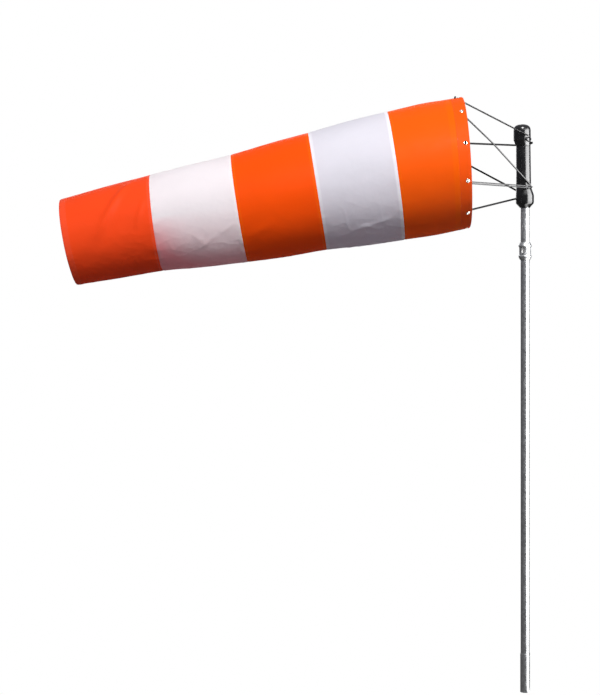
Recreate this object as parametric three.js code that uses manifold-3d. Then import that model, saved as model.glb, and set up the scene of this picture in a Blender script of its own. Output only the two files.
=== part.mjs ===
// A windsock on its pole: a striped fabric cone held open by a hoop, tied by bridle lines to a head
// that turns on a spindle at the top of a two-piece steel pole.
// Millimetres, +Z up. The origin is on the pole's axis at its foot; the sock streams towards -X.
import * as THREE from "three";
import { mergeVertices } from "three/addons/utils/BufferGeometryUtils.js";
import Module from "manifold-3d";

const wasm = await Module();
wasm.setup();

// ---- Driving dimensions -------------------------------------------------------------------

const ROUND = 40; // segments around the sock and the pole
const GAP = 0.3; // between pieces that touch

// The pole: two lengths of 33.7 mm pipe butted in a coupling, in a thin sleeve at the foot.
const PIPE_RADIUS = 16.85;
const PIPE_BORE = 13.6;
const POLE_JOINT_Z = 1682;
const POLE_TOP_Z = 1872;
const FOOT_SLEEVE = { bore: 17.2, radius: 18.4, top: 147 };
const COUPLING = {
  bore: 17.2,
  lip: 19,
  radius: 22.3,
  rim: 25.2,
  low: POLE_JOINT_Z - 38.5,
  height: 67.5,
  shoulder: 12,
  rimHeight: 4,
  blend: 3,
};
const COUPLING_SCREW = { radius: 3, azimuth: 150, proud: 1.5 };
const WINDOW = { width: 9, height: 23, azimuth: -37 }; // in the coupling's wall, left of the near side

// The spindle that the head turns on.
const SPINDLE = {
  radius: 9.9,
  plug: 13.2,
  plugLength: 60,
  shoulder: 16.6,
  shoulderHeight: 6,
  top: 2122,
  chamfer: 4,
};
const CROSS_PIN = { radius: 2.5, z: 1846 };
const WASHER = { radius: 16.2, height: 3 };
const BUSH = { bore: 10.2, radius: 14.9, lowerHeight: 19, upperHeight: 25, upperTop: 2095 };
const COLLAR = { bore: 10.2, radius: 14.6, height: 12, screw: 2, screwSunk: 0.4 };

// The head: its bore is on the pole's axis, and its outside is carried towards the sock.
// Each station of an outline is [z, centre x, radius].
const HEAD_BORE = 15.2;
const BELL_CAVITY = 18.3;
const UPPER_SPIGOT = { radius: 17.4, socket: 17.7, height: 21 };
const LOWER_SPIGOT = { radius: 19.5, socket: 19.8, height: 16 };
const HEAD_SCREW = {
  radius: 2.5,
  aboveCapJoint: 11,
  belowBellJoint: 8,
  capSurface: 28.7,
  bellSurface: 29.7,
};
const BELL_OUTLINE = [
  [1842, -0.5, 18.9],
  [1848, -1.2, 23.5],
  [1859, -1.2, 34],
  [1867, -1.0, 34.6],
  [1891, -1.0, 34.6],
  [1906, -3.2, 31.6],
  [1921, -5.7, 28.7],
];
const SLEEVE_OUTLINE = [
  [1921, -5.7, 28.7],
  [2077, -7.2, 27.9],
];
const CAP_OUTLINE = [
  [2077, -7.2, 27.9],
  [2101, -11.6, 33.1],
  [2138, -11.8, 33.1],
  [2147, -11.8, 31.4],
  [2153.5, -11.8, 27],
  [2158, -11.8, 19],
  [2160, -11.8, 9],
];
const UPPER_EYE = { x: 10, y: -37.5, z: 2102, radius: 7.6, wire: 2.4 };

// The sock: the mouth's ring, then each band's length and slope below the horizontal, and the radius
// and lean of the ring at its rear end. A ring's lean carries its top away from the pole.
const MOUTH = { x: -225, z: 2015, radius: 250, lean: 3.3 };
const BANDS = [
  { name: "band_1", length: 273, slope: 10.8, radius: 245.5, lean: 7.8, colour: 0xff6a20 },
  { name: "band_2", length: 303, slope: 11.2, radius: 225, lean: 9.2, colour: 0xf4f2f4 },
  { name: "band_3", length: 303, slope: 12.3, radius: 205.5, lean: 9, colour: 0xff5f12 },
  { name: "band_4", length: 318, slope: 10.1, radius: 183, lean: 7.8, colour: 0xf4f2f4 },
  { name: "band_5", length: 340, slope: 12.4, radius: 165, lean: 11.3, colour: 0xff5520 },
];
const FABRIC = 0.8; // one layer with its coating
// Each band starts this much smaller than the last one ends, so that it can droop into it.
const NEST = 0.955;
const SEAM_GAP = 1.5;
const HOOP = { back: 4.6, depth: 4.35, wire: 2.9 };
const HEM = { length: 46, pocket: 8.2, inside: 1.1, pocketDepth: 7.5 };
const TAIL_HEM = 26;

// Eyelets are set by hand, so the spacing wanders a little. Angles run from the near side up over the top.
const EYELET_BACK = 17.2;
const EYELET = {
  hole: 3.75,
  barrel: 4.6,
  flange: 7.4,
  outside: 1.3,
  inside: 4.4,
  thick: 0.9,
  clearance: 5,
};
const EYELET_ANGLES = [81.8, 49.6, 16.4, -16.2, -49, -81.8, -114.5, -147, 174.4, 143.5, 113];

// Bridle lines of 4.5 mm cord.
const LINE_RADIUS = 2.25;
const LINE_STEP = 25; // between the sections of a straight line
const WRAP_STEP = 12; // and of one that goes round the head
const KNOT_RADIUS = 4.2;
const UPPER_KNOT = [23, -14.5, 2090];
const LOWER_KNOT = [21.5, -21.5, 1921.5];
const REAR_KNOT = [8, 39.5, 1889];

// ---- Geometry helpers ---------------------------------------------------------------------

const rad = THREE.MathUtils.degToRad;

// A mesh's faces turned outwards, whichever way round it was built.
function outward(geometry) {
  const bare = geometry.clone();
  bare.deleteAttribute("normal");
  bare.deleteAttribute("uv");
  const merged = mergeVertices(bare, 1e-3);
  const p = merged.attributes.position;
  const index = merged.index.array;
  const [a, b, c] = [0, 1, 2].map(() => new THREE.Vector3());
  let volume = 0;
  for (let i = 0; i < index.length; i += 3) {
    a.fromBufferAttribute(p, index[i]);
    b.fromBufferAttribute(p, index[i + 1]);
    c.fromBufferAttribute(p, index[i + 2]);
    volume += a.dot(b.cross(c));
  }
  if (volume < 0)
    for (let i = 0; i < index.length; i += 3)
      [index[i + 1], index[i + 2]] = [index[i + 2], index[i + 1]];
  return merged;
}

function solidFrom(geometry) {
  const g = outward(geometry);
  return new wasm.Manifold(
    new wasm.Mesh({
      numProp: 3,
      vertProperties: new Float32Array(g.attributes.position.array),
      triVerts: new Uint32Array(g.index.array),
    }),
  );
}

function geometryFrom(solid) {
  const mesh = solid.getMesh();
  return new THREE.BufferGeometry()
    .setAttribute("position", new THREE.BufferAttribute(new Float32Array(mesh.vertProperties), 3))
    .setIndex(new THREE.BufferAttribute(new Uint32Array(mesh.triVerts), 1));
}

const cut = (body, ...tools) =>
  geometryFrom(tools.reduce((left, tool) => left.subtract(solidFrom(tool)), solidFrom(body)));
const join = (body, ...more) =>
  geometryFrom(more.reduce((sum, piece) => sum.add(solidFrom(piece)), solidFrom(body)));

// A profile of [radius, z] points turned about the pole's axis. It closes on itself or ends on the axis.
function turned(profile, segments = ROUND) {
  const points = profile.map(([r, z]) => new THREE.Vector2(r, z));
  if (profile[0][0] > 0) points.push(points[0].clone());
  return outward(new THREE.LatheGeometry(points, segments).rotateX(Math.PI / 2));
}

const pipe = (bore, radius, low, high) =>
  turned([
    [bore, low],
    [radius, low],
    [radius, high],
    [bore, high],
  ]);

// A rod from one point to another.
function rod(radius, from, to, segments = 16) {
  const a = new THREE.Vector3(...from);
  const along = new THREE.Vector3(...to).sub(a);
  const turn = new THREE.Quaternion().setFromUnitVectors(
    new THREE.Vector3(0, 1, 0),
    along.clone().normalize(),
  );
  const centre = a.addScaledVector(along, 0.5);
  return new THREE.CylinderGeometry(radius, radius, along.length(), segments)
    .applyQuaternion(turn)
    .translate(centre.x, centre.y, centre.z);
}

// Quads between neighbouring rings of points. Closed rings wrap from the last to the first; an open
// stack gets a fan at each end.
function skin(rings, closed) {
  const n = rings[0].length;
  const points = rings.flat();
  const index = [];
  const last = closed ? rings.length : rings.length - 1;
  for (let i = 0; i < last; i++)
    for (let j = 0; j < n; j++) {
      const [a, b] = [i * n + j, i * n + ((j + 1) % n)];
      const next = ((i + 1) % rings.length) * n;
      const [c, d] = [next + j, next + ((j + 1) % n)];
      index.push(a, b, d, a, d, c);
    }
  if (!closed)
    [0, rings.length - 1].forEach((end) => {
      const centre = points.length;
      const middle = rings[end].reduce((sum, p) => sum.add(p), new THREE.Vector3()).divideScalar(n);
      points.push(middle);
      for (let j = 0; j < n; j++) {
        const [a, b] = [end * n + j, end * n + ((j + 1) % n)];
        index.push(...(end === 0 ? [centre, b, a] : [centre, a, b]));
      }
    });
  return outward(new THREE.BufferGeometry().setFromPoints(points).setIndex(index));
}

// A solid whose level sections are circles with wandering centres.
function stack(outline, segments = ROUND) {
  const rings = outline.map(([z, x, radius]) =>
    Array.from({ length: segments }, (_, j) => {
      const angle = (2 * Math.PI * j) / segments;
      return new THREE.Vector3(x + radius * Math.cos(angle), radius * Math.sin(angle), z);
    }),
  );
  return skin(rings, false);
}

// ---- The sock's own geometry --------------------------------------------------------------

// The rings at the mouth, at each seam and at the tail.
function sockRings() {
  const rings = [MOUTH];
  for (const band of BANDS) {
    const front = rings.at(-1);
    rings.push({
      x: front.x - band.length * Math.cos(rad(band.slope)),
      z: front.z - band.length * Math.sin(rad(band.slope)),
      radius: band.radius,
      lean: band.lean,
    });
  }
  return rings;
}
const RINGS = sockRings();

function onRing(ring, angle, offset = 0) {
  const r = ring.radius + offset;
  const up = r * Math.sin(angle);
  return new THREE.Vector3(
    ring.x - up * Math.sin(rad(ring.lean)),
    -r * Math.cos(angle),
    ring.z + up * Math.cos(rad(ring.lean)),
  );
}

// The ring at a distance behind a band's front seam, with its front radius scaled by nest.
function bandRing(k, distance, nest = 1) {
  const [front, rear] = [RINGS[k], RINGS[k + 1]];
  const t = distance / BANDS[k].length;
  const mix = (a, b) => a + (b - a) * t;
  return {
    x: mix(front.x, rear.x),
    z: mix(front.z, rear.z),
    radius: mix(front.radius * nest, rear.radius),
    lean: mix(front.lean, rear.lean),
  };
}

// A closed section of [distance, offset] points carried round a band.
function aroundBand(k, section, nest = 1, segments = ROUND) {
  const rings = section.map(([distance, offset]) => {
    const ring = bandRing(k, distance, nest);
    return Array.from({ length: segments }, (_, j) =>
      onRing(ring, (2 * Math.PI * j) / segments, offset),
    );
  });
  return skin(rings, true);
}

const wall = (from, to, outer, inner) => [
  [from, outer],
  [to, outer],
  [to, inner],
  [from, inner],
];

// ---- The pole -----------------------------------------------------------------------------

const lowerTube = pipe(PIPE_BORE, PIPE_RADIUS, 0, POLE_JOINT_Z - GAP / 2);

const crossPinHole = rod(
  CROSS_PIN.radius + GAP,
  [0, -2 * PIPE_RADIUS, CROSS_PIN.z],
  [0, 2 * PIPE_RADIUS, CROSS_PIN.z],
);
const upperTube = cut(
  pipe(PIPE_BORE, PIPE_RADIUS, POLE_JOINT_Z + GAP / 2, POLE_TOP_Z),
  crossPinHole,
);
const footSleeve = pipe(FOOT_SLEEVE.bore, FOOT_SLEEVE.radius, 0, FOOT_SLEEVE.top);

// A direction about the pole, 0 at the near side (-Y) and positive towards +X.
function towards(azimuth, distance, z) {
  return [distance * Math.sin(rad(azimuth)), -distance * Math.cos(rad(azimuth)), z];
}

const couplingHigh = COUPLING.low + COUPLING.height;
const rimMiddle = COUPLING.shoulder + COUPLING.rimHeight / 2; // from either end
const couplingScrews = [
  { name: "coupling_screw_upper", z: couplingHigh - rimMiddle },
  { name: "coupling_screw_lower", z: COUPLING.low + rimMiddle },
];

// A socket with a tapered shoulder and a rim at each end, a sight window over the butt joint and
// two tapped holes.
function couplingBody() {
  const { bore, lip, radius, rim, low, shoulder, rimHeight, blend } = COUPLING;
  const rimEnd = shoulder + rimHeight;
  const body = turned([
    [bore, low],
    [lip, low],
    [rim, low + shoulder],
    [rim, low + rimEnd],
    [radius, low + rimEnd + blend],
    [radius, couplingHigh - rimEnd - blend],
    [rim, couplingHigh - rimEnd],
    [rim, couplingHigh - shoulder],
    [lip, couplingHigh],
    [bore, couplingHigh],
  ]);
  const window = new THREE.BoxGeometry(WINDOW.width, 2 * bore, WINDOW.height)
    .translate(0, -2 * bore, 0)
    .rotateZ(rad(WINDOW.azimuth))
    .translate(0, 0, POLE_JOINT_Z);
  const tapped = couplingScrews.map(({ z }) =>
    rod(
      COUPLING_SCREW.radius + GAP,
      towards(COUPLING_SCREW.azimuth, bore / 2, z),
      towards(COUPLING_SCREW.azimuth, 2 * rim, z),
    ),
  );
  return cut(body, window, ...tapped);
}

const couplingScrew = ({ z }) =>
  rod(
    COUPLING_SCREW.radius,
    towards(COUPLING_SCREW.azimuth, COUPLING.bore + GAP, z),
    towards(COUPLING_SCREW.azimuth, COUPLING.rim + COUPLING_SCREW.proud, z),
  );

// ---- The spindle and its bearings -----------------------------------------------------------

const shoulderLow = POLE_TOP_Z + GAP;
const shoulderHigh = shoulderLow + SPINDLE.shoulderHeight;
const spindle = cut(
  turned([
    [0, POLE_TOP_Z - SPINDLE.plugLength],
    [SPINDLE.plug, POLE_TOP_Z - SPINDLE.plugLength],
    [SPINDLE.plug, shoulderLow],
    [SPINDLE.shoulder, shoulderLow],
    [SPINDLE.shoulder, shoulderHigh],
    [SPINDLE.radius, shoulderHigh],
    [SPINDLE.radius, SPINDLE.top - SPINDLE.chamfer],
    [SPINDLE.radius - SPINDLE.chamfer, SPINDLE.top],
    [0, SPINDLE.top],
  ]),
  crossPinHole,
);
const crossPin = rod(
  CROSS_PIN.radius,
  [0, -PIPE_RADIUS, CROSS_PIN.z],
  [0, PIPE_RADIUS, CROSS_PIN.z],
);

const washerLow = shoulderHigh + GAP;
const thrustWasher = pipe(BUSH.bore, WASHER.radius, washerLow, washerLow + WASHER.height);
const lowerBushLow = washerLow + WASHER.height + GAP;
const lowerBush = pipe(BUSH.bore, BUSH.radius, lowerBushLow, lowerBushLow + BUSH.lowerHeight);
const upperBush = pipe(BUSH.bore, BUSH.radius, BUSH.upperTop - BUSH.upperHeight, BUSH.upperTop);

const collarLow = BUSH.upperTop + GAP;
const collarMiddle = collarLow + COLLAR.height / 2;
const collar = cut(
  pipe(COLLAR.bore, COLLAR.radius, collarLow, collarLow + COLLAR.height),
  rod(COLLAR.screw + GAP, [0, 0, collarMiddle], [0, 2 * COLLAR.radius, collarMiddle]),
);
const collarScrew = rod(
  COLLAR.screw,
  [0, COLLAR.bore + GAP, collarMiddle],
  [0, COLLAR.radius - COLLAR.screwSunk, collarMiddle],
);

// ---- The head -------------------------------------------------------------------------------

const HEAD_JOINT_LOW = SLEEVE_OUTLINE[0][0];
const HEAD_JOINT_HIGH = CAP_OUTLINE[0][0];
const CAP_CAVITY_TOP = SPINDLE.top + 6;
const BEYOND = 5; // how far a cutting tool, or a piece to be joined, runs past the face it passes
const capScrewZ = HEAD_JOINT_HIGH + HEAD_SCREW.aboveCapJoint;
const bellScrewZ = HEAD_JOINT_LOW - HEAD_SCREW.belowBellJoint;

// An outline whose lowest level is lifted by the gap that neighbours keep.
const lifted = (outline) => outline.map(([z, x, r], i) => [i === 0 ? z + GAP : z, x, r]);

// A screw from the head's surface to just short of the spigot, on side -1 (near) or 1 (far).
const headScrew = (side, z, spigot, surface) =>
  rod(HEAD_SCREW.radius, [0, side * (spigot + GAP), z], [0, side * surface, z], 12);
const headScrewHole = (z, reach) =>
  rod(HEAD_SCREW.radius + GAP, [0, -reach, z], [0, reach, z]);

const upright = (radius, low, high) => rod(radius, [0, 0, low], [0, 0, high], ROUND);
const lowerSpigotEnd = HEAD_JOINT_LOW - LOWER_SPIGOT.height;
const upperSpigotEnd = HEAD_JOINT_HIGH + UPPER_SPIGOT.height;

const sleeve = cut(
  join(
    stack(lifted(SLEEVE_OUTLINE)),
    upright(UPPER_SPIGOT.radius, HEAD_JOINT_HIGH - BEYOND, upperSpigotEnd),
    upright(LOWER_SPIGOT.radius, lowerSpigotEnd, HEAD_JOINT_LOW + BEYOND),
  ),
  upright(HEAD_BORE, lowerSpigotEnd - BEYOND, upperSpigotEnd + BEYOND),
);
const bell = cut(
  stack(BELL_OUTLINE),
  upright(BELL_CAVITY, BELL_OUTLINE[0][0] - BEYOND, lowerBushLow),
  upright(HEAD_BORE, lowerBushLow - BEYOND, HEAD_JOINT_LOW + BEYOND),
  upright(LOWER_SPIGOT.socket, lowerSpigotEnd - GAP, HEAD_JOINT_LOW + BEYOND),
  headScrewHole(bellScrewZ, 2 * BELL_CAVITY),
);
const cap = cut(
  stack(lifted(CAP_OUTLINE)),
  upright(UPPER_SPIGOT.socket, HEAD_JOINT_HIGH - BEYOND, CAP_CAVITY_TOP),
  headScrewHole(capScrewZ, 2 * UPPER_SPIGOT.socket),
);

// A wire eye on the near side of the cap, with the stem that holds it there.
function upperEye() {
  const ring = new THREE.TorusGeometry(UPPER_EYE.radius, UPPER_EYE.wire, 8, 20)
    .rotateX(Math.PI / 2)
    .translate(UPPER_EYE.x, UPPER_EYE.y, UPPER_EYE.z);
  const side = UPPER_EYE.x - UPPER_EYE.radius;
  const [, centre, radius] = CAP_OUTLINE[1];
  const surface = -Math.sqrt(radius ** 2 - (side - UPPER_EYE.wire - centre) ** 2) - GAP;
  const stem = rod(
    UPPER_EYE.wire,
    [side, UPPER_EYE.y, UPPER_EYE.z],
    [side, surface, UPPER_EYE.z],
  );
  return join(ring, stem);
}

// ---- The mouth, the bands and the tail --------------------------------------------------------

const EYELET_SEGMENTS = 12;

// The place of an eyelet and the fabric's outward direction there, and a point on its axis.
function eyeletAxis(angle) {
  const at = (back, turn) => onRing(bandRing(0, back), rad(angle + turn));
  const centre = at(EYELET_BACK, 0);
  const along = at(EYELET_BACK + 1, 0).sub(at(EYELET_BACK - 1, 0));
  const around = at(EYELET_BACK, 1).sub(at(EYELET_BACK, -1));
  const out = along.cross(around).normalize();
  const fromAxis = centre.clone().sub(new THREE.Vector3(MOUTH.x, 0, MOUTH.z));
  return { centre, out: out.dot(fromAxis) < 0 ? out.negate() : out };
}
function atEyelet(angle, offset) {
  const { centre, out } = eyeletAxis(angle);
  return centre.addScaledVector(out, offset);
}

function eyelet(angle) {
  const { centre, out } = eyeletAxis(angle);
  const washer = -EYELET.inside;
  const profile = [
    [EYELET.hole, washer],
    [EYELET.flange, washer],
    [EYELET.flange, washer + EYELET.thick],
    [EYELET.barrel, washer + EYELET.thick],
    [EYELET.barrel, GAP],
    [EYELET.flange, GAP],
    [EYELET.barrel + 1.2, EYELET.outside],
    [EYELET.hole, EYELET.outside],
  ];
  const turn = new THREE.Quaternion().setFromUnitVectors(new THREE.Vector3(0, 0, 1), out);
  return turned(profile, EYELET_SEGMENTS)
    .applyQuaternion(turn)
    .translate(centre.x, centre.y, centre.z);
}

const eyeletHoles = EYELET_ANGLES.map((angle) =>
  rod(EYELET.clearance, atEyelet(angle, -12).toArray(), atEyelet(angle, 12).toArray(), 8),
);

const hoop = aroundBand(
  0,
  Array.from({ length: 8 }, (_, i) => {
    const angle = (2 * Math.PI * (i + 0.5)) / 8;
    return [HOOP.back + HOOP.wire * Math.cos(angle), -HOOP.depth + HOOP.wire * Math.sin(angle)];
  }),
);

// The hem is folded inside the mouth: a pocket round the hoop, then flat against the band.
const hem = cut(
  aroundBand(0, [
    [0.2, -HEM.inside],
    [1, -HEM.inside],
    [1, -HEM.pocketDepth],
    [HEM.pocket, -HEM.pocketDepth],
    [HEM.pocket, -HEM.inside],
    [HEM.length, -HEM.inside],
    [HEM.length, -HEM.inside - FABRIC],
    [HEM.pocket + FABRIC, -HEM.inside - FABRIC],
    [HEM.pocket + FABRIC, -HEM.pocketDepth - FABRIC],
    [0.2, -HEM.pocketDepth - FABRIC],
  ]),
  ...eyeletHoles,
);

function bandSolid(k) {
  const { length } = BANDS[k];
  if (k === 0) return cut(aroundBand(0, wall(0, length, 0, -FABRIC)), ...eyeletHoles);
  return aroundBand(k, wall(SEAM_GAP, length, 0, -FABRIC), NEST);
}

const tailLength = BANDS.at(-1).length;
const tailHem = aroundBand(
  BANDS.length - 1,
  wall(tailLength - TAIL_HEM, tailLength, -HEM.inside, -HEM.inside - FABRIC),
  NEST,
);

// ---- The bridle lines -----------------------------------------------------------------------

// A cord of eight sides along points: straight between two, smooth through more.
function cord(points) {
  const route = points.map((p) => (p.isVector3 ? p : new THREE.Vector3(...p)));
  const path =
    route.length === 2
      ? new THREE.LineCurve3(...route)
      : new THREE.CatmullRomCurve3(route, false, "centripetal");
  const section = new THREE.Shape(
    Array.from({ length: 8 }, (_, i) => {
      const angle = (2 * Math.PI * i) / 8;
      return new THREE.Vector2(LINE_RADIUS * Math.cos(angle), LINE_RADIUS * Math.sin(angle));
    }),
  );
  const steps = Math.ceil(path.getLength() / (route.length < 4 ? LINE_STEP : WRAP_STEP));
  return outward(new THREE.ExtrudeGeometry(section, { steps, extrudePath: path, bevelEnabled: false }));
}

// The last point drawn back from a knot's centre, so that the cord stops at its surface.
function stopAt(knot, from) {
  const centre = new THREE.Vector3(...knot);
  const back = new THREE.Vector3(...from).sub(centre).normalize();
  return centre.addScaledVector(back, KNOT_RADIUS + 2 * GAP);
}

const INSIDE = -7; // where a line without an inside knot starts, from the eyelet inwards
const KNOT_INSIDE = -11.5;
const ONTO_EYE = [UPPER_EYE.x - 3, UPPER_EYE.y - 6, UPPER_EYE.z + UPPER_EYE.radius + 6]; // its outer edge

// From an inside knot towards the head.
function startAt(knot, target) {
  const to = new THREE.Vector3(...target);
  return knot.clone().addScaledVector(to.sub(knot).normalize(), KNOT_RADIUS + 2 * GAP);
}

// Knots at the eyelets: two show outside the fabric, the others are inside it.
const KNOTS = {
  knot_top: onRing(bandRing(0, 26), rad(81.8), 6),
  knot_near_upper: atEyelet(EYELET_ANGLES[2], 6.2),
  knot_high: atEyelet(EYELET_ANGLES[1], KNOT_INSIDE),
  knot_near_lower: atEyelet(EYELET_ANGLES[3], KNOT_INSIDE).add(new THREE.Vector3(0, 0, -9)),
  knot_low: atEyelet(EYELET_ANGLES[4], KNOT_INSIDE),
  knot_far: atEyelet(EYELET_ANGLES[8], KNOT_INSIDE),
};

// A point beside the head at an angle from +X through the far side, clear of its surface at height z.
function besideHead([centre, radius], angle, z) {
  const r = radius + LINE_RADIUS + 1;
  return [centre + r * Math.cos(rad(angle)), r * Math.sin(rad(angle)), z];
}
const NECK = [-9, 30.2]; // centre and radius of the cap's cone where the upper line passes
const SHOULDER = [-1, 34.6]; // and of the bell where the lower line passes

// Where the high line passes just in front of the near upper one.
const CROSSING = [-131.5, -104.5, 2083.5];

const nearLowerStart = (dz) => KNOTS.knot_near_lower.clone().add(new THREE.Vector3(0, 0, dz));
const LINES = {
  line_top: [atEyelet(EYELET_ANGLES[0], INSIDE), ONTO_EYE],
  line_near_upper: [
    atEyelet(EYELET_ANGLES[2], INSIDE),
    besideHead(NECK, 150, 2081),
    besideHead(NECK, 120, 2082),
    besideHead(NECK, 90, 2083.5),
    besideHead(NECK, 60, 2085),
    besideHead(NECK, 30, 2086.5),
    besideHead(NECK, 5, 2088),
    [26.5, -7.5, 2089.3],
  ],
  line_high: [
    startAt(KNOTS.knot_high, CROSSING),
    CROSSING,
    stopAt([LOWER_KNOT[0], LOWER_KNOT[1] - 3, 1926], CROSSING),
  ],
  line_near_lower_1: [
    startAt(nearLowerStart(2.6), [LOWER_KNOT[0], LOWER_KNOT[1], 1925]),
    stopAt([LOWER_KNOT[0], LOWER_KNOT[1], 1924.5], nearLowerStart(2.6).toArray()),
  ],
  line_near_lower_2: [
    startAt(nearLowerStart(-3.6), [LOWER_KNOT[0], LOWER_KNOT[1], 1917]),
    stopAt([LOWER_KNOT[0], LOWER_KNOT[1], 1918], nearLowerStart(-3.6).toArray()),
  ],
  line_far: [startAt(KNOTS.knot_far, REAR_KNOT), stopAt(REAR_KNOT, KNOTS.knot_far.toArray())],
  line_low: [
    startAt(KNOTS.knot_low, [-30, 10, 1877]),
    besideHead(SHOULDER, 134, 1878),
    besideHead(SHOULDER, 115, 1881),
    besideHead(SHOULDER, 97, 1885),
    [2.5, 38.6, 1886.5],
  ],
};

// A knot drawn up tight: a ball a little longer than it is thick.
function knot(centre) {
  const [x, y, z] = centre.isVector3 ? centre.toArray() : centre;
  return new THREE.SphereGeometry(KNOT_RADIUS, 8, 6).scale(1, 0.9, 1).translate(x, y, z);
}

// ---- Materials and the assembly -----------------------------------------------------------------

const finish = (color, roughness, metalness = 0) =>
  new THREE.MeshStandardMaterial({ color, roughness, metalness });
const GALVANISED = finish(0x8c9094, 0.45, 0.9);
const STEEL = finish(0xb4b6b8, 0.3, 1);
const BRONZE = finish(0xb08a4a, 0.4, 1);
const BLACK_MOULDING = finish(0x0a0b0d, 0.18);
const BLACK_WIRE = finish(0x101114, 0.35, 0.4);
const BLACK_CORD = finish(0x141416, 0.8);
const GREY_CORD = finish(0xb9bcbf, 0.7);
const EYELET_METAL = finish(0xe2dccb, 0.25, 1);
const HEM_FABRIC = finish(0xf95a18, 0.7);
const TAIL_FABRIC = finish(0xf04a18, 0.7);

const assembly = new THREE.Group();

function add(name, geometry, material) {
  const mesh = new THREE.Mesh(geometry, material);
  mesh.name = name;
  assembly.add(mesh);
}

add("mast_lower_tube", lowerTube, GALVANISED);
add("mast_foot_sleeve", footSleeve, GALVANISED);
add("mast_upper_tube", upperTube, GALVANISED);
add("pole_coupling", couplingBody(), GALVANISED);
for (const screw of couplingScrews) add(screw.name, couplingScrew(screw), STEEL);

add("spindle", spindle, STEEL);
add("spindle_pin", crossPin, STEEL);
add("thrust_washer", thrustWasher, BRONZE);
add("retaining_collar", collar, STEEL);
add("collar_grub_screw", collarScrew, STEEL);

add("head_sleeve", sleeve, BLACK_MOULDING);
add("head_bell", bell, BLACK_MOULDING);
add("head_cap", cap, BLACK_MOULDING);
add("lower_bush", lowerBush, BRONZE);
add("upper_bush", upperBush, BRONZE);
for (const [end, z, spigot, surface] of [
  ["cap", capScrewZ, UPPER_SPIGOT.radius, HEAD_SCREW.capSurface],
  ["bell", bellScrewZ, LOWER_SPIGOT.radius, HEAD_SCREW.bellSurface],
]) {
  add(`${end}_screw_near`, headScrew(-1, z, spigot, surface), STEEL);
  add(`${end}_screw_far`, headScrew(1, z, spigot, surface), STEEL);
}
add("upper_eye", upperEye(), BLACK_WIRE);
add("upper_knot", knot(UPPER_KNOT), BLACK_CORD);
add("lower_knot", knot(LOWER_KNOT), GREY_CORD);
add("rear_knot", knot(REAR_KNOT), BLACK_CORD);

add("mouth_hoop", hoop, STEEL);
add("mouth_hem", hem, HEM_FABRIC);
EYELET_ANGLES.forEach((angle, i) => add(`eyelet_${i + 1}`, eyelet(angle), EYELET_METAL));
BANDS.forEach(({ name, colour }, k) => add(name, bandSolid(k), finish(colour, 0.7)));
add("tail_hem", tailHem, TAIL_FABRIC);

for (const [name, centre] of Object.entries(KNOTS)) add(name, knot(centre), BLACK_CORD);
for (const [name, points] of Object.entries(LINES))
  add(name, cord(points), name.startsWith("line_near_lower") ? GREY_CORD : BLACK_CORD);

export default assembly;
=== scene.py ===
"""A windsock on its pole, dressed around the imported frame: cloth bands, hems and seams, braided bridle lines
with their knots and eyelets, a glossy swivelling head and a galvanised pole. All in metres."""

import math

import bpy
import numpy as np
from mathutils import Matrix, Vector


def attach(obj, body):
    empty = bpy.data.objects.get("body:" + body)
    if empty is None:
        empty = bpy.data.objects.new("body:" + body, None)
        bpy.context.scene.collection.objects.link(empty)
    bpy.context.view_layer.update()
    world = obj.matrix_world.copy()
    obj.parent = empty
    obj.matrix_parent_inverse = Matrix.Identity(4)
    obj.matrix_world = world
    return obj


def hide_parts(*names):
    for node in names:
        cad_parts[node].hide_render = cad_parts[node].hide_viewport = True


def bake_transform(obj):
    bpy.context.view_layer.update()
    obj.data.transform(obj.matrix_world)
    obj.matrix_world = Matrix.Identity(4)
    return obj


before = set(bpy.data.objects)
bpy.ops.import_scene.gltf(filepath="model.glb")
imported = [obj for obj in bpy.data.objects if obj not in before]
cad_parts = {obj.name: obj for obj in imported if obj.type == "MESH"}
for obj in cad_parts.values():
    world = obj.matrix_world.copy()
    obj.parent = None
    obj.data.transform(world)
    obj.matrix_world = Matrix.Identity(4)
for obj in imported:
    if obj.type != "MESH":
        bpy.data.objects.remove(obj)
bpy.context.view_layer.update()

MM = 0.001
TURN = 2 * math.pi

# ---- Driving dimensions, as in the CAD model ----

# The mouth's ring, then each band: length, slope below the horizontal in degrees, and the ring at its rear.
MOUTH = {"x": -0.225, "z": 2.015, "radius": 0.250, "lean": 3.3}
BANDS = [
    dict(zip(("name", "length", "slope", "radius", "lean", "slot"), row))
    for row in (
        ("band_1", 0.273, 10.8, 0.2455, 7.8, "orange_fabric"),
        ("band_2", 0.303, 11.2, 0.2250, 9.2, "white_fabric"),
        ("band_3", 0.303, 12.3, 0.2055, 9.0, "orange_fabric"),
        ("band_4", 0.318, 10.1, 0.1830, 7.8, "white_fabric"),
        ("band_5", 0.340, 12.4, 0.1650, 11.3, "red_orange_fabric"),
    )
]

CLOTH = 0.0005  # one layer
LAYER = 0.0010  # from one layer to the next where the cloth is folded
ALLOWANCE = 0.012  # the folded-back edge inside each seam
TAIL_HEM = 0.026
HOOP = {"back": 0.0046, "depth": 0.00435, "wire": 0.0029}
HEM_LENGTH = 0.046

EYELET_BACK = 0.0172
EYELET_ANGLES = [81.8, 49.6, 16.4, -16.2, -49, -81.8, -114.5, -147, 174.4, 143.5, 113]

LINE_RADIUS = 0.00225
KNOT_RADIUS = 0.0042
POLE_JOINT = 1.682
UPPER_EYE = Vector((0.010, -0.0375, 2.102))
UPPER_KNOT = Vector((0.023, -0.0145, 2.090))
LOWER_KNOT = Vector((0.0215, -0.0215, 1.9215))
REAR_KNOT = Vector((0.008, 0.0395, 1.889))


# ---- Small helpers ----


def rad(degrees):
    return math.radians(degrees)


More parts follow.
